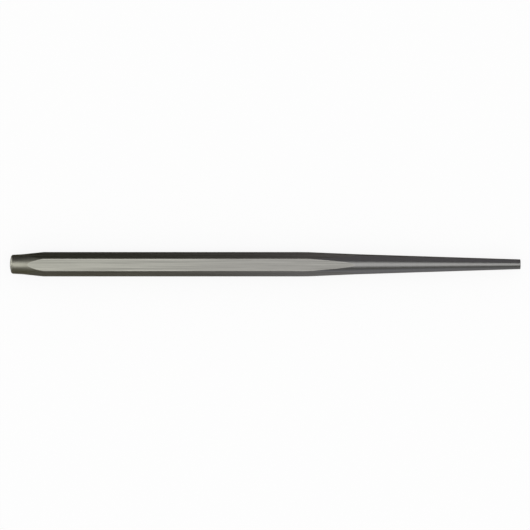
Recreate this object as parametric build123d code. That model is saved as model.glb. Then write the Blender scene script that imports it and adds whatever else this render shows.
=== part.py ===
# Long-taper drift punch, made from one bar of hexagonal tool steel.
#
# The bar lies along X on one of its flats, struck end at -X and tip at +X. The lathe and
# the grinder leave a turned envelope: crowned face, rounded rim, short land, run-out cone,
# then the long taper and its flat tip. The envelope cuts into the bar, so each cone meets
# the six flats in six pointed run-outs. Before the taper the flats also ease down a little,
# where the belt that smoothed them ran off the bar.
#
# Lengths are in millimetres and angles in degrees.
from build123d import *
from math import cos, radians, sqrt, tan
import os

# The bar
overall_length = 304.8
across_flats = 12.7
corner_radius = 0.1

# The struck end: the land's diameter is taken at the very end, where its cone starts
crown_radius = 16.0
rim_radius = 1.4
land_diameter = 11.2
land_half_angle = 2.9
land_length = 7.4
land_blend_radius = 60.0
head_cone_half_angle = 6.05

# The working end: the long taper, and the steeper cone that runs out on the flats
tip_diameter = 5.81
tip_edge_radius = 0.25
taper_length = 97.5
taper_half_angle = 1.825
taper_blend_radius = 600.0
taper_cone_half_angle = 2.47

# The flats ease down from a little before the cone's first cut
easing_lead = 6.0
easing_angle = 0.45

# How far a cutting shape runs past the bar
run_past = 1.0

# Worked out from the sizes above, on the bar's own axis
head_x = -overall_length / 2
tip_x = overall_length / 2
sharp_corner = across_flats / 2 / cos(radians(30))
round_corner = sharp_corner - corner_radius * (1 / cos(radians(30)) - 1)
clear_radius = sharp_corner + run_past
land_end_x = head_x + land_length
land_end_radius = land_diameter / 2 + land_length * tan(radians(land_half_angle))
taper_end_x = tip_x - taper_length
taper_end_radius = tip_diameter / 2 + taper_length * tan(radians(taper_half_angle))


def cone_run(start_radius, end_radius, half_angle):
    """Length along the axis in which a cone grows from one radius to another."""
    return (end_radius - start_radius) / tan(radians(half_angle))


def struck_rim():
    """Where the crown's sphere meets the land's cone, before the rim is rounded."""
    radius = land_diameter / 2
    slope = tan(radians(land_half_angle))
    reach = crown_radius - radius * slope
    depth = (reach - sqrt(reach**2 - (1 + slope**2) * radius**2)) / (1 + slope**2)
    return head_x + depth, radius + depth * slope


def crown_point(radius):
    """The point of the crown that lies at this radius."""
    return head_x + crown_radius - sqrt(crown_radius**2 - radius**2), radius


def round_corners(outline, corners):
    """Round the named corners of a flat outline, each with its own radius."""
    for corner, radius in corners:
        outline = fillet(outline.vertices().sort_by_distance(corner)[0], radius)
    return outline


def turned_outline():
    """Half outline of the turned envelope, from the crown to the tip, above the axis."""
    rim = struck_rim()
    land_end = (land_end_x, land_end_radius)
    head_clear = land_end_x + cone_run(land_end_radius, clear_radius, head_cone_half_angle)
    taper_clear = taper_end_x - cone_run(taper_end_radius, clear_radius, taper_cone_half_angle)
    taper_end = (taper_end_x, taper_end_radius)
    tip_corner = (tip_x, tip_diameter / 2)
    with BuildSketch() as half:
        with BuildLine():
            ThreePointArc(crown_point(0), crown_point(rim[1] / 2), rim)
            Polyline(
                rim,
                land_end,
                (head_clear, clear_radius),
                (taper_clear, clear_radius),
                taper_end,
                tip_corner,
                (tip_x, 0),
                crown_point(0),
            )
        make_face()
    rounds = (
        (rim, rim_radius),
        (land_end, land_blend_radius),
        (taper_end, taper_blend_radius),
        (tip_corner, tip_edge_radius),
    )
    return round_corners(half.sketch, rounds)


def turned_envelope():
    """The solid of revolution that the lathe and the grinder leave."""
    return revolve(turned_outline(), axis=Axis.X)


def bar_section():
    """The bar's section: a hexagon with rounded corners, two of its flats level."""
    hexagon = RegularPolygon(across_flats / 2, 6, major_radius=False)
    return fillet(hexagon.vertices(), corner_radius)


def hexagonal_bar():
    """The bar at its full section, from end to end."""
    return extrude(Plane.YZ.offset(head_x - run_past) * bar_section(), amount=overall_length + 2 * run_past)


def easing_pyramid():
    """A slim six-sided pyramid whose faces cross the flats where they start to ease down."""
    first_cut_x = taper_end_x - cone_run(taper_end_radius, round_corner, taper_cone_half_angle)
    ease_x = first_cut_x - easing_lead
    start_x = head_x - run_past
    end_x = tip_x + run_past
    start_height = across_flats / 2 + (ease_x - start_x) * tan(radians(easing_angle))
    end_height = across_flats / 2 - (end_x - ease_x) * tan(radians(easing_angle))
    with BuildSketch() as side:
        Polygon(
            (start_x, start_height),
            (end_x, end_height),
            (end_x, -end_height),
            (start_x, -start_height),
            align=None,
        )
    half_width = start_height / cos(radians(30)) + run_past
    wedge = Rot(90, 0, 0) * extrude(side.sketch, amount=half_width, both=True)
    return wedge & Rot(60, 0, 0) * wedge & Rot(120, 0, 0) * wedge


def drift_punch():
    """The whole tool, lying on a flat with the middle of its length over the origin."""
    return Pos(0, 0, across_flats / 2) * (hexagonal_bar() & easing_pyramid() & turned_envelope())


os.makedirs("parts", exist_ok=True)
punch = drift_punch()
punch.label = "drift_punch"
export_step(punch, "parts/drift_punch.step")
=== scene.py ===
"""Long-taper drift punch in satin tool steel, laid out as an add-on and run as a script.

The punch lies along X on one of its flats, struck end at -X and tip at +X, with its axis
half the bar's height above the ground. One operator turns the sizes below into the punch's
mesh and gives it its finishes. Another sets up the studio: ground, lights and camera.
Lengths are in metres, angles in radians, and colours are linear.
"""

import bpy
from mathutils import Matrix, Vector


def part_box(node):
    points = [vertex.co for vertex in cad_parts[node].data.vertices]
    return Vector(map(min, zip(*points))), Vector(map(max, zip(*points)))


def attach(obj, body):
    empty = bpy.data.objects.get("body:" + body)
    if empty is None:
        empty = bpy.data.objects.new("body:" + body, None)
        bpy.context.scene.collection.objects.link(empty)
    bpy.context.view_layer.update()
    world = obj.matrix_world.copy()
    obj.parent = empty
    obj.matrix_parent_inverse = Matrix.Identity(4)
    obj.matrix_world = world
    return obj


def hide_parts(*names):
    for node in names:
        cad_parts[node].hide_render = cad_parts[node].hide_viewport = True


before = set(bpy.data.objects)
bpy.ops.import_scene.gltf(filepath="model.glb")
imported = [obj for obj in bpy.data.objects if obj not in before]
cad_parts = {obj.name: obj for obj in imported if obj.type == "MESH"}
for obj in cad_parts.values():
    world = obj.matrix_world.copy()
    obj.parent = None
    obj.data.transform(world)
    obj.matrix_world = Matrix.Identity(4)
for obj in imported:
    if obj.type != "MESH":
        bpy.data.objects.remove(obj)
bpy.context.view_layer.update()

from math import atan2, cos, pi, radians, sin, sqrt, tan

import bpy
import numpy as np
from bpy.props import FloatProperty, FloatVectorProperty, PointerProperty
from mathutils import Vector

bl_info = {
    "name": "Drift Punch",
    "version": (1, 0, 0),
    "blender": (4, 5, 0),
    "location": "3D View > Sidebar > Drift Punch",
    "description": "Builds a long-taper drift punch with its steel finishes, and a studio for it",
    "category": "Add Mesh",
}

MM = 0.001
NODE = "drift_punch"
PIECE = "drift_punch_steel"
LOWEST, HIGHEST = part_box(NODE)

# The bar's six sides, and how each half side is divided into columns: across the flat,
# over the edge between the flat and what is turned, and on to the long corner
SIDES = 6
HALF_SIDE = pi / SIDES
FLAT_COLUMNS = 5
EDGE_COLUMNS = 4
ROUND_COLUMNS = 5
# The least half width of a flat's columns, as a turn, and the most that an edge's columns
# take of what lies on either side of it
LEAST_FLAT = radians(2.5)
MOST_EDGE = 0.4
# Past the point of a run-out, the columns become even over this length
EVEN_LENGTH = 4 * MM

# How many rows each stretch of the outline gets
CROWN_ROWS = 26
RIM_ROWS = 14
LAND_ROWS = 18
LAND_BLEND_ROWS = 9
HEAD_CONE_ROWS = 8
BAR_ROWS = 44
TAPER_BLEND_ROWS = 13
TAPER_ROWS = 46
TIP_EDGE_ROWS = 8
TIP_ROWS = 14
# Where rings cross the edge of a run-out, in degrees from the middle of its flat
CUT_TURNS = (0, 2.5, 3.2, 4, 5, *range(6, 30), 29.6, 30)
# In how many places a run is tested to find these rings
CUT_TESTS = 20001
# Rings of the taper that lie nearer to the points of its run-outs are left out
NEAREST_RING = 0.3 * MM
# As far from an edge as is written down
FAR_OFF = 20 * MM
# Keeps a divisor from being nothing
TINY = 1e-9

# Finishes, in the order of the piece's material slots
FLAT, HEAD, TAPER, CROWN, TIP = range(5)

# What the studio looks like in the steel, by degrees from overhead, towards +Y above 0
ACROSS_COLOURS = (
    (-180, (0, 0, 0)),
    (-160, (0.220, 0.209, 0.180)),
    (-130, (0.220, 0.209, 0.180)),
    (-115, (0.020, 0.010, 0)),
    (-100, (0, 0, 0)),
    (-88, (0.272, 0.259, 0.142)),
    (-76, (0, 0, 0)),
    (-64, (0, 0, 0)),
    (-54, (0.172, 0.166, 0.130)),
    (-44, (0.086, 0.083, 0.065)),
    (-35, (0, 0, 0)),
    (115, (0, 0, 0)),
    (130, (0.095, 0.090, 0.046)),
    (145, (0, 0, 0)),
    (180, (0, 0, 0)),
)
# The same beyond the punch's ends, by height from straight down to straight up, and how
# bright that is towards the two dim corners of the studio and towards the two bright ones
END_LEVELS = (
    (-1.0, 0.25),
    (-0.25, 0.25),
    (0.0, 0.45),
    (0.25, 0.75),
    (0.70, 0.75),
    (1.0, 0.0),
)
CORNER_SHARES = (0.45, 1.55)
# A direction is wholly in a corner where its X times its Y reaches this, either way
FULL_CORNER = 0.3
# How far a direction leans towards an end before it meets the ends, and meets only them
END_LEANS = (0.48, 0.78)
# The pale room that lights the ground, and how bright the ground looks unshaded
ROOM_LEVEL = 1.15
GROUND_LEVEL = 0.99
# Colours of the low cards, and the size of the card beyond the struck end
NEAR_CARD_TINT = (0.815, 0.828, 1.0)
FAR_CARD_TINT = (0.965, 0.90, 1.0)
RIM_CARD_SIZE = (0.22, 0.26)

# The ground: rings of its level part, where it starts to curve up, and its wall
GROUND_RINGS = (0.3, 0.8, 1.6, 2.4)
GROUND_BEND_START = 2.6
GROUND_BEND_RADIUS = 0.8
GROUND_BEND_RINGS = 14
GROUND_TOP = 2.2
GROUND_TURNS = 96

# The camera's sensor, in millimetres, and the nearest and farthest that it sees
SENSOR_WIDTH = 36.0
CLIP = (0.05, 20.0)

# Broad lines to each fine one
BROAD_SHARE = 0.4
# Patches of the lengthwise tint to a metre along each axis, how much they shift its colour, and
# from where on the tint is the cool one
TINT_PATCHES = (22, 60, 60)
TINT_SHIFT = 0.3
COOL_FROM_X = 20 * MM


def length(name, description, default):
    """A length that a user may change."""
    return FloatProperty(
        name=name, description=description, default=default, unit="LENGTH", precision=5
    )


def angle(name, description, degrees):
    """An angle that a user may change."""
    return FloatProperty(
        name=name, description=description, default=radians(degrees), subtype="ANGLE"
    )


def share(name, description, default, most=1.0):
    """A number from 0 up to the most that a user may give it."""
    return FloatProperty(
        name=name, description=description, default=default, min=0.0, max=most, subtype="FACTOR"
    )


def colour(name, description, default):
    """A colour that a user may change."""
    return FloatVectorProperty(
        name=name, description=description, default=default, min=0.0, max=1.0, subtype="COLOR"
    )


class PunchSizes(bpy.types.PropertyGroup):
    """Sizes of the punch. The first two are the frame's own."""

    overall_length: length("Overall length", "From struck end to tip", HIGHEST.x - LOWEST.x)
    across_flats: length("Across flats", "Height of the bar on its flat", HIGHEST.z - LOWEST.z)
    corner_radius: length("Corner radius", "Rounding of the bar's long corners", 0.1 * MM)
    crown_radius: length("Crown radius", "Sphere of the struck face", 16.0 * MM)
    rim_radius: length("Rim radius", "Rounding between struck face and land", 1.4 * MM)
    land_diameter: length("Land diameter", "Where the land meets the struck end", 11.2 * MM)
    land_half_angle: angle("Land half angle", "How much the land opens", 2.9)
    land_length: length("Land length", "From the struck end to its cone", 7.4 * MM)
    land_blend_radius: length("Land blend radius", "Between land and cone", 60.0 * MM)
    head_half_angle: angle("Head cone half angle", "Of the cone behind the land", 6.05)
    tip_diameter: length("Tip diameter", "Of the flat tip", 5.81 * MM)
    tip_edge_radius: length("Tip edge radius", "Rounding of the tip's edge", 0.25 * MM)
    taper_length: length("Taper length", "Of the long taper, from the tip", 97.5 * MM)
    taper_half_angle: angle("Taper half angle", "Of the long taper", 1.825)
    taper_blend_radius: length("Taper blend radius", "Between taper and cone", 600.0 * MM)
    cone_half_angle: angle("Taper cone half angle", "Of the cone behind the taper", 2.47)
    easing_lead: length("Easing lead", "From where the flats ease to the first cut", 6.0 * MM)
    easing_angle: angle("Easing angle", "How much the flats ease down", 0.45)
    edge_easing: length("Edge easing", "Rub on the edges between cones and flats", 0.03 * MM)


class PunchFinish(bpy.types.PropertyGroup):
    """Colours and shine of the steel. Their hues are the steel's own, but the head's lighter
    colour and the taper's darker one are painted light, standing in for light that is brighter at
    the struck end and falls off towards the tip.
    """

    flat_colour: colour("Flats", "Smoothed lengthwise", (0.40, 0.40, 0.385))
    head_colour: colour("Head", "Turned land and cone", (0.503, 0.503, 0.465))
    taper_colour: colour("Taper", "Ground taper", (0.352, 0.350, 0.345))
    end_colour: colour("Ends", "Struck face and tip", (0.42, 0.42, 0.40))
    flat_roughness: share("Flat roughness", "Of the smoothed flats", 0.44)
    head_roughness: share("Head roughness", "Of the turned head", 0.44)
    taper_roughness: share("Taper roughness", "Of the ground taper", 0.36)


class StudioSetting(bpy.types.PropertyGroup):
    """Camera, lights and ground. A light's glow is how bright it looks in the steel."""

    camera_tilt: angle("Camera tilt", "Leans towards +Y from overhead", 3.8)
    camera_lens: FloatProperty(
        name="Lens", description="Focal length, in millimetres", default=200.0, unit="CAMERA"
    )
    camera_aim_x: length("Camera aim X", "Of the picture's middle", -0.09 * MM)
    camera_aim_y: length("Camera aim Y", "Of the picture's middle", -0.45 * MM)
    picture_width: length("Picture width", "What it spans at the punch's axis", 0.3166)
    softbox_height: length("Softbox height", "Of both, above the punch's axis", 1.2)
    head_softbox_length: length("Head softbox length", "From the middle of the punch", 0.6)
    tip_softbox_length: length("Tip softbox length", "From the middle of the punch", 0.8)
    softbox_half_angle: angle("Softbox half angle", "Across the punch, seen from it", 24.7)
    head_softbox_lean: angle("Head softbox lean", "Of its middle towards +Y", -0.8)
    tip_softbox_lean: angle("Tip softbox lean", "Of its middle towards +Y", 0.9)
    head_softbox_glow: share("Head softbox glow", "Of the one at -X", 1.53, most=10.0)
    tip_softbox_glow: share("Tip softbox glow", "Of the one at +X", 1.055, most=10.0)
    low_card_distance: length("Low card distance", "From the punch's axis to each", 0.40)
    low_card_drop: length("Low card drop", "How far both reach below the axis", 0.311)
    near_card_x: length("Near card place", "Of the low card at -Y, along the punch", 0.11)
    near_card_length: length("Near card length", "Along the punch", 0.25)
    near_card_rise: length("Near card rise", "How far it reaches above the axis", 0.239)
    near_card_glow: share("Near card glow", "Of the low card at -Y", 0.365)
    far_card_x: length("Far card place", "Of the low card at +Y, along the punch", 0.20)
    far_card_length: length("Far card length", "Along the punch", 0.40)
    far_card_rise: length("Far card rise", "How far it reaches above the axis", 0.40)
    far_card_glow: share("Far card glow", "Of the low card at +Y", 0.19)
    rim_card_distance: length("Rim card distance", "From the struck end", 0.50)
    rim_card_drop: angle("Rim card drop", "Of its middle below level", 16.0)
    rim_card_glow: share("Rim card glow", "Of the card beyond the struck end", 2.8, most=10.0)
    ground_colour: colour("Ground", "Pale ground", (0.86, 0.86, 0.86))
    shadow_share: share("Shadow share", "How much of the contact shadow shows", 0.12)


# The turned outline. Each row is x, radius and heading, from the middle of the struck face
# to the middle of the tip. The heading is the angle at which the outline runs there.


def arc(centre, radius, start, end, count):
    """Rows on an arc from one angle of its radius to another."""
    turn = np.linspace(start, end, count)
    quarter = pi / 2 if end > start else -pi / 2
    return np.stack(
        [centre[0] + radius * np.cos(turn), centre[1] + radius * np.sin(turn), turn + quarter], 1
    )


def line(start, end, count):
    """Rows on a straight, both ends included."""
    rows = np.linspace(start[:2], end[:2], count)
    heading = atan2(end[1] - start[1], end[0] - start[0])
    return np.column_stack([rows, np.full(count, heading)])


def hollow(corner, before, after, radius, count):
    """Rows of the arc that eases a hollow corner between two headings."""
    back = radius * tan((after - before) / 2)
    start = (corner[0] - back * cos(before), corner[1] - back * sin(before))
    centre = (start[0] - radius * sin(before), start[1] + radius * cos(before))
    return arc(centre, radius, before - pi / 2, after - pi / 2, count)


class Shape:
    """The punch's surface: the turned outline, the bar's section and how they meet."""

    def __init__(self, sizes):
        self.sizes = sizes
        self.head_x = -sizes.overall_length / 2
        self.tip_x = sizes.overall_length / 2
        self.half = sizes.across_flats / 2
        self.corner_centre = (self.half - sizes.corner_radius) / cos(HALF_SIDE)
        self.round_corner = self.corner_centre + sizes.corner_radius
        flat_half_width = (self.half - sizes.corner_radius) * tan(HALF_SIDE)
        self.flat_angle = atan2(flat_half_width, self.half)
        self.clear = self.round_corner + 4 * sizes.edge_easing
        self.head_rows()
        self.taper_rows()

    def head_rows(self):
        """The struck end's rows: crown, rim, land, blend and cone."""
        s = self.sizes
        slope = tan(s.land_half_angle)
        rise = s.land_diameter / 2 - s.rim_radius / cos(s.land_half_angle)
        reach = s.crown_radius - s.rim_radius
        a = 1 + slope**2
        b = s.crown_radius - slope * rise
        depth = (b - sqrt(b**2 - a * (s.crown_radius**2 + rise**2 - reach**2))) / a
        crown_x = self.head_x + s.crown_radius
        rim = (self.head_x + depth, slope * depth + rise)
        rim_start = atan2(rim[1], rim[0] - crown_x)
        self.crown = arc((crown_x, 0.0), s.crown_radius, pi, rim_start, CROWN_ROWS)
        self.rim = arc(rim, s.rim_radius, rim_start, pi / 2 + s.land_half_angle, RIM_ROWS)
        corner = (self.head_x + s.land_length, s.land_diameter / 2 + s.land_length * slope)
        headings = (s.land_half_angle, s.head_half_angle)
        blend = hollow(corner, *headings, s.land_blend_radius, LAND_BLEND_ROWS)
        run = (self.clear - blend[-1, 1]) / tan(s.head_half_angle)
        self.head_clear_x = blend[-1, 0] + run
        land = line(self.rim[-1], blend[0], LAND_ROWS)
        cone = line(blend[-1], (self.head_clear_x, self.clear), 2)
        self.head_run = np.concatenate([land, blend[1:-1], cone])

    def taper_rows(self):
        """The working end's rows: cone, blend, taper, tip edge and tip."""
        s = self.sizes
        start = self.tip_x - s.taper_length
        corner = (start, s.tip_diameter / 2 + s.taper_length * tan(s.taper_half_angle))
        headings = (-s.cone_half_angle, -s.taper_half_angle)
        blend = hollow(corner, *headings, s.taper_blend_radius, TAPER_BLEND_ROWS)
        first_cut = start - (self.round_corner - corner[1]) / tan(s.cone_half_angle)
        self.ease_x = first_cut - s.easing_lead
        self.taper_clear_x = blend[0, 0] - (self.clear - blend[0, 1]) / tan(s.cone_half_angle)
        edge_x = self.tip_x - s.tip_edge_radius
        edge_radius = (
            s.tip_diameter / 2
            + s.tip_edge_radius * tan(s.taper_half_angle)
            - s.tip_edge_radius / cos(s.taper_half_angle)
        )
        edge_start = pi / 2 - s.taper_half_angle
        self.tip_edge = arc(
            (edge_x, edge_radius), s.tip_edge_radius, edge_start, 0.0, TIP_EDGE_ROWS
        )
        cone = line((self.taper_clear_x, self.clear), blend[0], 2)
        taper = line(blend[-1], self.tip_edge[0], TAPER_ROWS)
        self.taper_run = np.concatenate([cone, blend[1:-1], taper])
        self.tip_face = line(self.tip_edge[-1], (self.tip_x, 0.0), TIP_ROWS)

    def flat_height(self, x):
        """How far each flat is from the axis, and how fast it comes closer along X."""
        slope = tan(self.sizes.easing_angle)
        past = np.maximum(x - self.ease_x, 0.0)
        return self.half - past * slope, np.where(past > 0, -slope, 0.0)

    def bar(self, x, turn):
        """The bar's radius at each turn from the middle of a flat, with its two slopes."""
        height, fall = self.flat_height(x)
        flat = height / np.cos(turn)
        radius, by_turn, by_x = flat, flat * np.tan(turn), fall / np.cos(turn)
        off = HALF_SIDE - np.abs(turn)
        # How far out the rounding's centre lies, and how far to one side
        out = self.corner_centre * np.cos(off)
        aside = self.corner_centre * np.sin(off)
        corner = np.sqrt(np.maximum(self.sizes.corner_radius**2 - aside**2, 0))
        arc_radius = out + corner
        arc_slope = aside * (1 + out / np.maximum(corner, TINY))
        on_corner = (np.abs(turn) > self.flat_angle) & (arc_radius < flat)
        radius = np.where(on_corner, arc_radius, radius)
        by_turn = np.where(on_corner, np.sign(turn) * arc_slope, by_turn)
        by_x = np.where(on_corner, 0.0, by_x)
        return radius, by_turn, by_x

    def section(self, row, turn):
        """Radius and normal, as x, outward and round parts, where a row meets each turn.
        The edge between the turned surface and the bar is eased a little."""
        x, turned, heading = (row[:, i][:, None] for i in range(3))
        radius, by_turn, by_x = self.bar(x, turn)
        ease = self.sizes.edge_easing
        mix = np.clip(0.5 + 0.5 * (radius - turned) / ease, 0, 1)
        met = radius + (turned - radius) * mix - ease * mix * (1 - mix)
        along = np.where(mix >= 1, heading, np.arctan(mix * np.tan(heading) + (1 - mix) * by_x))
        across = (1 - mix) * by_turn * np.cos(along) / np.maximum(met, TINY)
        normal = np.stack([-np.sin(along), np.cos(along), -across], -1)
        return met, normal / np.linalg.norm(normal, axis=-1, keepdims=True)


class Rings:
    """Every ring of the mesh, from the middle of the struck face to the middle of the tip."""

    def __init__(self, shape):
        self.shape = shape
        turns = np.radians(CUT_TURNS)
        self.head_cuts = self.cuts(shape.head_run, turns)
        self.taper_cuts = self.cuts(shape.taper_run, turns)[::-1]
        head_apex, taper_apex = self.head_cuts[0], self.taper_cuts[-1]
        blend_end = shape.head_run[-2, 0]
        cone = np.linspace(blend_end, head_apex, HEAD_CONE_ROWS)[1:-1]
        head = np.concatenate([shape.head_run[1:-1, 0], cone, self.head_cuts])
        bar = np.linspace(shape.head_clear_x, shape.taper_clear_x, BAR_ROWS)
        own = shape.taper_run[1:, 0]
        own = own[own > taper_apex + NEAREST_RING]
        halfway = (own[0] - taper_apex) / 2 + taper_apex
        taper = np.concatenate([self.taper_cuts, [halfway], own])
        parts = [
            shape.crown,
            shape.rim[1:],
            self.on(shape.head_run, head),
            self.on(shape.head_run, bar[:1]),
            np.column_stack([bar[1:-1], np.full(len(bar) - 2, shape.clear), 0 * bar[1:-1]]),
            self.on(shape.taper_run, bar[-1:]),
            self.on(shape.taper_run, taper),
            shape.tip_edge[1:],
            shape.tip_face[1:],
        ]
        self.rows = np.concatenate(parts)
        self.apexes = (head_apex, taper_apex)
        self.crown_end = len(shape.crown) - 1
        self.tip_start = len(self.rows) - len(shape.tip_face)

    def on(self, run, x):
        """Rows of a run at these x."""
        return np.column_stack([x, *(np.interp(x, run[:, 0], run[:, i]) for i in (1, 2))])

    def cuts(self, run, turns):
        """Where a run meets the flats at each turn from the middle of a flat."""
        x = np.linspace(run[0, 0], run[-1, 0], CUT_TESTS)
        ratio = self.on(run, x)[:, 1] / self.shape.flat_height(x)[0]
        if ratio[0] > ratio[-1]:
            x, ratio = x[::-1], ratio[::-1]
        return np.interp(1 / np.cos(turns), ratio, x)

    def columns(self):
        """For each ring, the turns of half a side's columns from the middle of its flat. They
        follow the edge of the flat, and are even where all is round."""
        shape = self.shape
        x, radius = self.rows[:, 0], self.rows[:, 1]
        count = FLAT_COLUMNS + EDGE_COLUMNS + ROUND_COLUMNS
        even = HALF_SIDE * (FLAT_COLUMNS + EDGE_COLUMNS / 2) / count
        even_edge = HALF_SIDE * EDGE_COLUMNS / 2 / count
        height = shape.flat_height(x)[0]
        met = np.arccos(np.clip(height / np.maximum(radius, height), -1, 1))
        fit = np.clip(met, LEAST_FLAT, shape.flat_angle)
        wide = shape.sizes.edge_easing / (height * np.tan(fit))
        edge = np.minimum(wide, MOST_EDGE * np.minimum(fit, HALF_SIDE - fit))
        off = np.minimum(abs(x - self.apexes[0]), abs(x - self.apexes[1]))
        spread = np.clip(off / EVEN_LENGTH, 0, 1)
        spread = spread * spread * (3 - 2 * spread) * (radius < height)
        fit = fit + (even - fit) * spread
        edge = edge + (even_edge - edge) * spread
        zones = (
            (0 * fit, fit - edge, FLAT_COLUMNS),
            (fit - edge, fit + edge, EDGE_COLUMNS),
            (fit + edge, 0 * fit + HALF_SIDE, ROUND_COLUMNS),
        )
        turns = [a + (b - a) * k / n for a, b, n in zones for k in range(n)]
        turns.append(0 * fit + HALF_SIDE)
        return np.stack(turns, 1)


def edge_distance(shape, rows, turn):
    """How far each point is from the nearest edge between a flat and its neighbour."""
    x, turned, heading = (rows[:, i][:, None] for i in range(3))
    radius, by_turn, by_x = shape.bar(x, turn)
    steep = np.clip(np.tan(np.clip(heading, -1, 1)), -1, 1) - by_x
    cut = abs(turned - radius) / np.maximum(np.hypot(by_turn / radius, steep), TINY)
    corner = abs(abs(turn) - shape.flat_angle) * radius
    cut = np.where((turned < shape.clear) & (abs(heading) < 1), cut, FAR_OFF)
    corner = np.where(turned > shape.round_corner, corner, FAR_OFF)
    return np.minimum(np.minimum(cut, corner), FAR_OFF)


def punch_mesh(shape):
    """The punch's mesh, with a normal for each point, its finishes, a map for baking and
    the distance to the nearest edge."""
    rings = Rings(shape)
    rows = rings.rows
    half = rings.columns()
    side = np.concatenate([-half[:, :0:-1], half[:, :-1]], 1)
    turn = np.tile(side, (1, SIDES))
    middle = np.repeat(np.arange(SIDES) * 2 * HALF_SIDE, side.shape[1])
    around = turn + middle
    radius, normal = shape.section(rows, turn)
    out, across = normal[..., 1], normal[..., 2]
    points = np.stack(
        [
            np.broadcast_to(rows[:, :1], radius.shape),
            radius * np.sin(around),
            radius * np.cos(around) + shape.half,
        ],
        -1,
    )
    normals = np.stack(
        [
            normal[..., 0],
            out * np.sin(around) + across * np.cos(around),
            out * np.cos(around) - across * np.sin(around),
        ],
        -1,
    )
    edges = edge_distance(shape, rows, turn)
    count, width = radius.shape
    keep = slice(1, count - 1)
    place = [points[0, :1], points[keep].reshape(-1, 3), points[-1, :1]]
    index = np.arange(1, (count - 2) * width + 1).reshape(count - 2, width)
    last = index[-1, -1] + 1
    right = np.roll(index, -1, 1)
    quads = np.stack([index[:-1], index[1:], right[1:], right[:-1]], -1).reshape(-1, 4)
    first_fan = np.stack([np.zeros(width, int), index[0], right[0]], -1)
    last_fan = np.stack([index[-1], np.full(width, last), right[-1]], -1)
    mesh = bpy.data.meshes.new(PIECE)
    faces = [*first_fan.tolist(), *quads.tolist(), *last_fan.tolist()]
    mesh.from_pydata(np.concatenate(place).tolist(), [], faces)
    mesh.polygons.foreach_set("use_smooth", np.ones(len(faces), bool))
    mesh.polygons.foreach_set("material_index", face_finishes(rings, count, width))
    write_bake_map(mesh, rings, around, count, width)
    attribute = mesh.attributes.new("edge_distance", "FLOAT", "POINT")
    flat_edges = np.concatenate([edges[0, :1], edges[keep].ravel(), edges[-1, :1]])
    attribute.data.foreach_set("value", flat_edges.astype(np.float32))
    mesh.update()
    flat_normals = np.concatenate([normals[0, :1], normals[keep].reshape(-1, 3), normals[-1, :1]])
    mesh.normals_split_custom_set_from_vertices(flat_normals.tolist())
    return mesh


def face_finishes(rings, count, width):
    """The finish of every face, ring by ring: what is turned, and the flats that it leaves."""
    gap = np.arange(count - 1)[:, None]
    x = rings.rows[:-1, 0][:, None] + TINY
    half = width // SIDES // 2
    column = np.arange(width)[None] % (2 * half)
    from_middle = np.where(column >= half, column - half, half - 1 - column)
    on_flat = from_middle < FLAT_COLUMNS + EDGE_COLUMNS // 2
    head_apex, taper_apex = rings.apexes
    between = (x >= head_apex) & (x < taper_apex)
    in_bar = (x >= rings.head_cuts[-1]) & (x < rings.taper_cuts[0])
    finish = np.where(x < 0, HEAD, TAPER) + 0 * column
    finish = np.where(between & on_flat, FLAT, finish)
    finish = np.where(in_bar + 0 * column > 0, FLAT, finish)
    finish = np.where(gap < rings.crown_end, CROWN, finish)
    finish = np.where(gap >= rings.tip_start, TIP, finish)
    return finish.astype(np.int32).ravel()


def write_bake_map(mesh, rings, around, count, width):
    """A map in three strips: each a third of the punch's length, unrolled."""
    rows = rings.rows
    run = np.concatenate([[0], np.cumsum(np.hypot(*np.diff(rows[:, :2], axis=0).T))])
    strips = 3
    ends = np.searchsorted(run, run[-1] * np.arange(1, strips) / strips)
    ends = np.array([0, *ends, count - 1])
    strip = np.searchsorted(ends, np.arange(count - 1), side="right") - 1
    margin = 0.004
    low, high = run[ends[strip]], run[ends[strip + 1]]
    u0 = margin + (1 - 2 * margin) * (run[:-1] - low) / (high - low)
    u1 = margin + (1 - 2 * margin) * (run[1:] - low) / (high - low)
    share_of_turn = (around - around[:, :1]) / (2 * pi)
    share_of_turn = np.column_stack([share_of_turn, np.ones(count)])
    v = (strip[:, None] + margin + (1 - 2 * margin) * share_of_turn[:-1]) / strips
    v_next = (strip[:, None] + margin + (1 - 2 * margin) * share_of_turn[1:]) / strips
    u0, u1 = (np.broadcast_to(u[:, None], (count - 1, width)) for u in (u0, u1))
    corners = [(u0, v[:, :-1]), (u1, v_next[:, :-1]), (u1, v_next[:, 1:]), (u0, v[:, 1:])]
    quad = np.stack([np.stack(c, -1) for c in corners], -2)
    first, last = quad[0], quad[-1]
    middle = (v[0, :-1] + v[0, 1:]) / 2
    fan_first = np.stack([np.stack([u0[0], middle], -1), first[:, 1], first[:, 2]], 1)
    middle = (v_next[-1, :-1] + v_next[-1, 1:]) / 2
    fan_last = np.stack([last[:, 0], np.stack([u1[-1], middle], -1), last[:, 3]], 1)
    places = [fan_first.reshape(-1, 2), quad[1:-1].reshape(-1, 2), fan_last.reshape(-1, 2)]
    layer = mesh.uv_layers.new(name="OFBake")
    layer.uv.foreach_set("vector", np.concatenate(places).astype(np.float32).ravel())


# Finishes. Effects that several of them use are node groups, made once.


def node(tree, kind, place, inputs=None, **settings):
    """A node with its settings. An input is a value, or another node's output. The settings
    come first, because a group has its sockets only once its tree is set."""
    made = tree.nodes.new(kind)
    made.location = place
    for name, value in settings.items():
        setattr(made, name, value)
    for name, value in (inputs or {}).items():
        if isinstance(value, bpy.types.NodeSocket):
            tree.links.new(value, made.inputs[name])
        else:
            made.inputs[name].default_value = value
    return made


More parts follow.
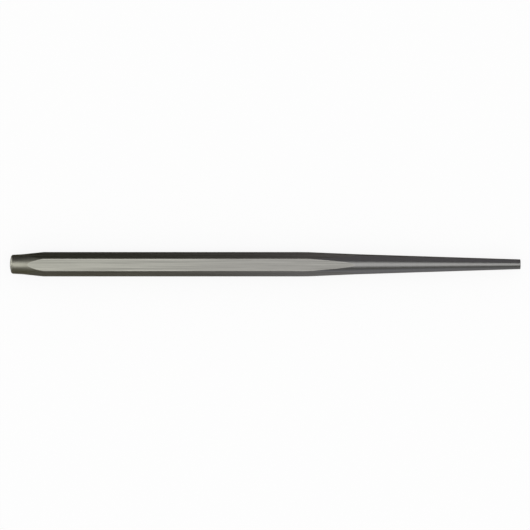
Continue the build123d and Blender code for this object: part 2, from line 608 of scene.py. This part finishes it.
def effect(name, inputs, outputs):
    """An empty node group with these sockets, and its ends inside."""
    tree = bpy.data.node_groups.new(name, "ShaderNodeTree")
    for title, kind, default in inputs:
        socket = tree.interface.new_socket(name=title, in_out="INPUT", socket_type=kind)
        socket.default_value = default
    for title, kind in outputs:
        tree.interface.new_socket(name=title, in_out="OUTPUT", socket_type=kind)
    given = node(tree, "NodeGroupInput", (-900, 0))
    result = node(tree, "NodeGroupOutput", (700, 0))
    return tree, given.outputs, result.inputs


def maths(tree, place, operation, *values, clamp=False):
    """The output of a Math node."""
    inputs = dict(enumerate(values))
    made = node(tree, "ShaderNodeMath", place, inputs, operation=operation, use_clamp=clamp)
    return made.outputs[0]


def vectors(tree, place, operation, *values):
    """A Vector Math node."""
    return node(
        tree, "ShaderNodeVectorMath", place, dict(enumerate(values)), operation=operation
    )


def blend(tree, place, how, factor, first, second):
    """The colour that a Mix node puts out."""
    inputs = {0: factor, 6: first, 7: second}
    made = node(tree, "ShaderNodeMix", place, inputs, data_type="RGBA", blend_type=how)
    return made.outputs[2]


def noise(tree, place, where, detail, rough):
    """A noise from 0 to 1, about a half on average, with one cell to each unit."""
    inputs = {"Vector": where, "Scale": 1.0, "Detail": detail, "Roughness": rough}
    return node(tree, "ShaderNodeTexNoise", place, inputs).outputs[0]


def line_effect():
    """Lines left by a belt, a stone or a cutting tool: fine ones over broad ones."""
    tree, given, result = effect(
        "Tool Lines",
        (
            ("Place", "NodeSocketVector", (0, 0, 0)),
            ("Lines", "NodeSocketVector", (1000, 1000, 1000)),
            ("Fine", "NodeSocketFloat", 0.1),
            ("Broad", "NodeSocketFloat", 0.1),
        ),
        (
            ("Tone", "NodeSocketFloat"),
            ("Height", "NodeSocketFloat"),
            ("Shine", "NodeSocketFloat"),
        ),
    )
    close = vectors(tree, (-700, 100), "MULTIPLY", given["Place"], given["Lines"]).outputs[0]
    wide = vectors(tree, (-700, -100), "MULTIPLY", close, 3 * (BROAD_SHARE,)).outputs[0]
    fine = noise(tree, (-500, 150), close, detail=3.0, rough=0.6)
    broad = noise(tree, (-500, -150), wide, detail=3.0, rough=0.55)
    fine_off = maths(tree, (-300, 150), "MULTIPLY_ADD", fine, 2.0, -1.0)
    broad_off = maths(tree, (-300, -150), "MULTIPLY_ADD", broad, 2.0, -1.0)
    tone = maths(tree, (-100, 150), "MULTIPLY_ADD", fine_off, given["Fine"], 1.0)
    tone = maths(tree, (100, 100), "MULTIPLY_ADD", broad_off, given["Broad"], tone)
    tree.links.new(tone, result["Tone"])
    tree.links.new(fine, result["Height"])
    tree.links.new(broad_off, result["Shine"])
    return tree


def lengthwise_tint_effect():
    """A tint along the punch, warmer at the struck end than at the tip. Where the warm tint is
    lighter than the cool one, that is painted light, falling off from the struck end towards the
    tip.
    """
    tree, given, result = effect(
        "Lengthwise Tint And Falloff",
        (
            ("Place", "NodeSocketVector", (0, 0, 0)),
            ("Colour", "NodeSocketColor", (0.4, 0.4, 0.4, 1)),
            ("Warm", "NodeSocketColor", (1, 1, 1, 1)),
            ("Cool", "NodeSocketColor", (1, 1, 1, 1)),
        ),
        (("Colour", "NodeSocketColor"),),
    )
    long = vectors(tree, (-700, -200), "MULTIPLY", given["Place"], TINT_PATCHES).outputs[0]
    drift = noise(tree, (-500, -200), long, detail=2.0, rough=0.5)
    axes = node(tree, "ShaderNodeSeparateXYZ", (-700, 0), {0: given["Place"]})
    ends = {"Value": axes.outputs["X"], "From Min": LOWEST.x, "From Max": COOL_FROM_X}
    along = node(
        tree, "ShaderNodeMapRange", (-500, 0), ends, interpolation_type="SMOOTHSTEP"
    ).outputs[0]
    shift = maths(tree, (-300, -200), "MULTIPLY_ADD", drift, TINT_SHIFT, -TINT_SHIFT / 2)
    share_cool = maths(tree, (-100, -100), "ADD", along, shift, clamp=True)
    tint_and_falloff = blend(tree, (100, 0), "MIX", share_cool, given["Warm"], given["Cool"])
    tinted = blend(tree, (300, 0), "MULTIPLY", 1.0, given["Colour"], tint_and_falloff)
    tree.links.new(tinted, result["Colour"])
    return tree


def painted_edge_glint_effect():
    """Where a painted highlight goes along the edges of the flats: 1 on an edge, falling to 0 at
    the width.
    """
    tree, given, result = effect(
        "Painted Edge Glint",
        (("Width", "NodeSocketFloat", 0.5 * MM),),
        (("Mask", "NodeSocketFloat"),),
    )
    distance = node(
        tree, "ShaderNodeAttribute", (-700, 0), attribute_name="edge_distance"
    ).outputs["Fac"]
    gone = maths(tree, (-400, 0), "DIVIDE", distance, given["Width"])
    mask = maths(tree, (-200, 0), "SUBTRACT", 1.0, gone, clamp=True)
    smooth = maths(tree, (0, 0), "MULTIPLY", mask, mask)
    tree.links.new(smooth, result["Mask"])
    return tree


def ring_effect():
    """Turns a place on an end face into one on its radius, so that lines there are rings."""
    tree, given, result = effect(
        "Facing Rings",
        (("Place", "NodeSocketVector", (0, 0, 0)),),
        (("Place", "NodeSocketVector"),),
    )
    axis = (0, 0, (LOWEST.z + HIGHEST.z) / 2)
    off = vectors(tree, (-700, 0), "SUBTRACT", given["Place"], axis).outputs[0]
    flat = vectors(tree, (-500, 0), "MULTIPLY", off, (0, 1, 1)).outputs[0]
    radius = vectors(tree, (-300, 0), "LENGTH", flat).outputs["Value"]
    place = node(tree, "ShaderNodeCombineXYZ", (-100, 0), {"X": radius}).outputs[0]
    tree.links.new(place, result["Place"])
    return tree


def steel(name, effects, colour, roughness, look):
    """One finish of the steel, with its own lines. Its look holds the lines to a metre along
    each axis, how much fine and broad ones change the tone, how deep they are, how far broad
    ones change the roughness, how much painted highlight the flats' edges get and how wide, and
    the warm and cool tints along the punch."""
    material = bpy.data.materials.new(name)
    material.use_nodes = True
    tree = material.node_tree
    tree.nodes.clear()
    place = node(tree, "ShaderNodeTexCoord", (-1300, 0)).outputs["Object"]

    def group(which, at, inputs):
        return node(tree, "ShaderNodeGroup", at, inputs, node_tree=effects[which])

    where = group("rings", (-1100, -200), {"Place": place}).outputs[0] if look["rings"] else place
    lines = group(
        "lines",
        (-900, -200),
        {"Place": where, "Lines": look["lines"], "Fine": look["fine"], "Broad": look["broad"]},
    )
    tint_and_falloff = group(
        "lengthwise_tint",
        (-900, 100),
        {
            "Place": place,
            "Colour": (*colour, 1),
            "Warm": (*look["warm"], 1),
            "Cool": (*look["cool"], 1),
        },
    )
    tone = blend(
        tree, (-600, 100), "MULTIPLY", 1.0, tint_and_falloff.outputs["Colour"], lines.outputs["Tone"]
    )
    # A painted highlight: the colour is lightened near the edges of the flats.
    edges = group("edges", (-900, 350), {"Width": look["painted_glint_width"]})
    painted_glint_gain = maths(tree, (-600, 350), "MULTIPLY_ADD", edges.outputs[0], look["edge"], 1.0)
    final = blend(tree, (-400, 150), "MULTIPLY", 1.0, tone, painted_glint_gain)
    rough = maths(
        tree, (-400, -100), "MULTIPLY_ADD", lines.outputs["Shine"], look["shine"], roughness
    )
    bump = node(
        tree,
        "ShaderNodeBump",
        (-400, -350),
        {"Height": lines.outputs["Height"], "Strength": 1.0, "Distance": look["depth"]},
    )
    shader = node(
        tree,
        "ShaderNodeBsdfPrincipled",
        (0, 0),
        {"Base Color": final, "Metallic": 1.0, "Roughness": rough, "Normal": bump.outputs[0]},
    )
    node(tree, "ShaderNodeOutputMaterial", (300, 0), {"Surface": shader.outputs[0]})
    return material


def finishes(finish):
    """The five finishes, in the order of FLAT, HEAD, TAPER, CROWN and TIP."""
    effects = {
        "lines": line_effect(),
        "lengthwise_tint": lengthwise_tint_effect(),
        "edges": painted_edge_glint_effect(),
        "rings": ring_effect(),
    }
    # On the flats the warm tint is lighter and the cool one darker: painted light, falling off
    # from the struck end towards the tip.
    plain = {
        "rings": False,
        "warm": (1.09, 1.085, 0.982),
        "cool": (0.93, 0.912, 0.885),
        "painted_glint_width": 0.7 * MM,
        "edge": 0.0,
        "shine": 0.04,
        "depth": 12.0e-6,
    }
    # The flats' edges get a painted highlight.
    along = {**plain, "lines": (42, 4200, 4200), "fine": 0.27, "broad": 0.60, "edge": 0.22}
    around = {**plain, "lines": (3600, 70, 70), "fine": 0.12, "broad": 0.06, "shine": 0.02}
    facing = {**plain, "rings": True, "lines": (4200, 0, 0), "fine": 0.16, "broad": 0.10}
    turned = {**around, "warm": (1.0, 0.99, 0.90), "cool": (1.0, 0.99, 0.90)}
    ground = {
        **around,
        "warm": (1.02, 1.0, 0.97),
        "cool": (1.0, 1.0, 0.99),
        "lines": (5000, 60, 60),
        "fine": 0.13,
        "broad": 0.05,
        "shine": 0.02,
        "depth": 7.0e-6,
    }
    end = {**facing, "warm": (1.0, 1.0, 0.95), "cool": (1.0, 1.0, 1.0)}
    return (
        steel("Smoothed Flats", effects, finish.flat_colour, finish.flat_roughness, along),
        steel("Turned Head", effects, finish.head_colour, finish.head_roughness, turned),
        steel("Ground Taper", effects, finish.taper_colour, finish.taper_roughness, ground),
        steel("Struck Face", effects, finish.end_colour, finish.head_roughness, end),
        steel("Tip Face", effects, finish.end_colour, finish.taper_roughness, end),
    )


# Operators and panel


class PUNCH_OT_build_punch(bpy.types.Operator):
    """Build the drift punch from its sizes and give it its finishes."""

    bl_idname = "punch.build_punch"
    bl_label = "Build Drift Punch"

    def execute(self, context):
        scene = context.scene
        mesh = punch_mesh(Shape(scene.punch_sizes))
        for material in finishes(scene.punch_finish):
            mesh.materials.append(material)
        punch = bpy.data.objects.new(PIECE, mesh)
        scene.collection.objects.link(punch)
        if not punch.data.polygons:
            raise RuntimeError("the punch's mesh has no faces")
        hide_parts(NODE)
        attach(punch, "root")
        return {"FINISHED"}


class PUNCH_OT_build_stage(bpy.types.Operator):
    """Set up the ground, the lights, the surroundings and the camera."""

    bl_idname = "punch.build_stage"
    bl_label = "Build Stage"

    def execute(self, context):
        setting = context.scene.punch_studio
        lay_ground(context.scene, setting)
        hang_lights(context.scene, setting)
        paint_surroundings(context.scene)
        set_camera(context.scene, setting)
        return {"FINISHED"}


def lay_ground(scene, setting):
    """A round pale ground that curves up into a wall."""
    turns = GROUND_TURNS
    start, bend = GROUND_BEND_START, GROUND_BEND_RADIUS
    profile = [(radius, 0.0) for radius in GROUND_RINGS]
    profile += [
        (start + bend * sin(t), bend * (1 - cos(t)))
        for t in np.linspace(0, pi / 2, GROUND_BEND_RINGS)
    ]
    profile.append((start + bend, GROUND_TOP))
    points = [(0.0, 0.0, 0.0)]
    for radius, height in profile:
        for k in range(turns):
            turn = 2 * pi * k / turns
            points.append((radius * cos(turn), radius * sin(turn), height))
    faces = [(0, 1 + k, 1 + (k + 1) % turns) for k in range(turns)]
    for ring in range(len(profile) - 1):
        a, b = 1 + ring * turns, 1 + (ring + 1) * turns
        faces += [(a + k, b + k, b + (k + 1) % turns, a + (k + 1) % turns) for k in range(turns)]
    mesh = bpy.data.meshes.new("ground")
    mesh.from_pydata(points, [], faces)
    mesh.polygons.foreach_set("use_smooth", np.ones(len(faces), bool))
    material = bpy.data.materials.new("Pale Ground")
    material.use_nodes = True
    tree = material.node_tree
    tree.nodes.clear()
    shade = setting.shadow_share
    pale = [level * shade for level in setting.ground_colour]
    diffuse = node(tree, "ShaderNodeBsdfDiffuse", (0, 100), {"Color": (*pale, 1)})
    even = node(tree, "ShaderNodeEmission", (0, -100), {"Strength": GROUND_LEVEL * (1 - shade)})
    both = node(tree, "ShaderNodeAddShader", (200, 0), {0: diffuse.outputs[0], 1: even.outputs[0]})
    node(tree, "ShaderNodeOutputMaterial", (400, 0), {"Surface": both.outputs[0]})
    mesh.materials.append(material)
    ground = bpy.data.objects.new("ground", mesh)
    ground.visible_glossy = False
    ground.visible_shadow = False
    scene.collection.objects.link(ground)


def panel_light(scene, name, place, aim, size, glow, tint=(1, 1, 1)):
    """A soft rectangular light, its first side level, that the camera doesn't see."""
    light = bpy.data.lights.new(name, "AREA")
    light.shape = "RECTANGLE"
    light.size, light.size_y = size
    light.energy = glow * pi * size[0] * size[1]
    light.color = tint
    made = bpy.data.objects.new(name, light)
    made.location = place
    made.rotation_euler = (Vector(place) - Vector(aim)).to_track_quat("Z", "Y").to_euler()
    made.visible_camera = False
    made.visible_diffuse = False
    scene.collection.objects.link(made)
    return made


def hang_lights(scene, setting):
    """Two softboxes in a row overhead, a low card on each side of the tip's half, and one
    beyond the struck end that the rounded rim mirrors."""
    s = setting
    axis = (LOWEST.z + HIGHEST.z) / 2
    up = s.softbox_height
    width = 2 * up * tan(s.softbox_half_angle)
    for name, side, long, lean, glow in (
        ("head_softbox", -1, s.head_softbox_length, s.head_softbox_lean, s.head_softbox_glow),
        ("tip_softbox", 1, s.tip_softbox_length, s.tip_softbox_lean, s.tip_softbox_glow),
    ):
        x = side * long / 2
        place = (x, up * tan(lean), axis + up)
        panel_light(scene, name, place, (x, 0, axis), (long, width), glow)
    near = (s.near_card_x, s.near_card_length, s.near_card_rise, s.near_card_glow)
    far = (s.far_card_x, s.far_card_length, s.far_card_rise, s.far_card_glow)
    for name, side, (x, long, rise, glow), tint in (
        ("near_card", -1, near, NEAR_CARD_TINT),
        ("far_card", 1, far, FAR_CARD_TINT),
    ):
        tall = s.low_card_drop + rise
        height = axis + (rise - s.low_card_drop) / 2
        place = (x, side * s.low_card_distance, height)
        panel_light(scene, name, place, (x, 0, height), (long, tall), glow, tint)
    away, drop = s.rim_card_distance, s.rim_card_drop
    place = (LOWEST.x - away * cos(drop), 0, axis - away * sin(drop))
    panel_light(scene, "rim_card", place, (LOWEST.x, 0, axis), RIM_CARD_SIZE, s.rim_card_glow)


def colour_ramp(tree, place, factor, stops):
    """A ramp through colours of light, each at its share of the factor."""
    made = node(tree, "ShaderNodeValToRGB", place, {0: factor})
    ramp = made.color_ramp
    while len(ramp.elements) < len(stops):
        ramp.elements.new(0.5)
    for element, (at, _) in zip(ramp.elements, stops):
        element.position = at
    for element, (_, seen) in zip(ramp.elements, stops):
        element.color = (*seen, 1)
    return made.outputs[0]


def paint_surroundings(scene):
    """What the steel mirrors: a dark studio that is a little brighter near the ground, and
    brighter beyond the punch's two ends. All else meets an even pale room."""
    world = bpy.data.worlds.new("Studio")
    world.use_nodes = True
    tree = world.node_tree
    tree.nodes.clear()
    path = node(tree, "ShaderNodeLightPath", (-200, 400))
    where = node(tree, "ShaderNodeTexCoord", (-1300, 0)).outputs["Generated"]
    axes = node(tree, "ShaderNodeSeparateXYZ", (-1100, 0), {0: where}).outputs
    around = maths(tree, (-900, 150), "ARCTAN2", axes["Y"], axes["Z"])
    turn = maths(tree, (-700, 150), "MULTIPLY_ADD", around, 0.5 / pi, 0.5)
    across = colour_ramp(
        tree, (-500, 150), turn, [(0.5 + at / 360, seen) for at, seen in ACROSS_COLOURS]
    )
    lift = maths(tree, (-700, -150), "MULTIPLY_ADD", axes["Z"], 0.5, 0.5)
    ends = colour_ramp(
        tree, (-500, -150), lift, [(0.5 + 0.5 * at, 3 * (level,)) for at, level in END_LEVELS]
    )
    sideways = maths(tree, (-900, -350), "ABSOLUTE", axes["X"])
    zone = {"Value": sideways, "From Min": END_LEANS[0], "From Max": END_LEANS[1]}
    share_of_ends = node(
        tree, "ShaderNodeMapRange", (-700, -350), zone, interpolation_type="SMOOTHSTEP"
    ).outputs[0]
    diagonal = maths(tree, (-900, -550), "MULTIPLY", axes["X"], axes["Y"])
    corners = {
        "Value": diagonal,
        "From Min": FULL_CORNER,
        "From Max": -FULL_CORNER,
        "To Min": CORNER_SHARES[0],
        "To Max": CORNER_SHARES[1],
    }
    corner_share = node(
        tree, "ShaderNodeMapRange", (-700, -550), corners, interpolation_type="SMOOTHSTEP"
    ).outputs[0]
    lit_ends = blend(tree, (-200, -150), "MULTIPLY", 1.0, ends, corner_share)
    mirrored = blend(tree, (0, 0), "MIX", share_of_ends, across, lit_ends)
    glossy = node(tree, "ShaderNodeBackground", (200, 0), {"Color": mirrored})
    even = {"Color": (1, 1, 1, 1), "Strength": ROOM_LEVEL}
    room = node(tree, "ShaderNodeBackground", (200, 200), even)
    mix = node(
        tree,
        "ShaderNodeMixShader",
        (400, 100),
        {0: path.outputs["Is Glossy Ray"], 1: room.outputs[0], 2: glossy.outputs[0]},
    )
    node(tree, "ShaderNodeOutputWorld", (600, 100), {"Surface": mix.outputs[0]})
    world.cycles.sampling_method = "NONE"
    scene.world = world


def set_camera(scene, setting):
    """The camera looks down, with +X to the right, from nearly straight above."""
    camera = bpy.data.cameras.new("camera")
    camera.lens = setting.camera_lens
    camera.sensor_width = SENSOR_WIDTH
    camera.clip_start, camera.clip_end = CLIP
    made = bpy.data.objects.new("camera", camera)
    away = setting.picture_width * camera.lens / camera.sensor_width
    tilt = setting.camera_tilt
    axis = (LOWEST.z + HIGHEST.z) / 2
    aim = Vector((setting.camera_aim_x, setting.camera_aim_y, axis))
    made.location = aim + away * Vector((0, sin(tilt), cos(tilt)))
    made.rotation_euler = (-tilt, 0, 0)
    scene.collection.objects.link(made)
    scene.camera = made
    scene.view_settings.view_transform = "Standard"


class VIEW3D_PT_drift_punch(bpy.types.Panel):
    """Sizes, finishes and studio of the drift punch."""

    bl_label = "Drift Punch"
    bl_space_type = "VIEW_3D"
    bl_region_type = "UI"
    bl_category = "Drift Punch"

    def draw(self, context):
        layout = self.layout
        for settings, operator in (
            ((context.scene.punch_sizes, context.scene.punch_finish), PUNCH_OT_build_punch),
            ((context.scene.punch_studio,), PUNCH_OT_build_stage),
        ):
            box = layout.box()
            for group in settings:
                for name in group.__annotations__:
                    box.prop(group, name)
            box.operator(operator.bl_idname)


SETTINGS = {
    "punch_sizes": PunchSizes,
    "punch_finish": PunchFinish,
    "punch_studio": StudioSetting,
}
CLASSES = (
    PunchSizes,
    PunchFinish,
    StudioSetting,
    PUNCH_OT_build_punch,
    PUNCH_OT_build_stage,
    VIEW3D_PT_drift_punch,
)


def register():
    for one in CLASSES:
        bpy.utils.register_class(one)
    for name, group in SETTINGS.items():
        setattr(bpy.types.Scene, name, PointerProperty(type=group))


def unregister():
    for name in SETTINGS:
        delattr(bpy.types.Scene, name)
    for one in reversed(CLASSES):
        bpy.utils.unregister_class(one)


def main():
    register()
    bpy.ops.punch.build_punch()
    bpy.ops.punch.build_stage()


if __name__ == "__main__":
    main()
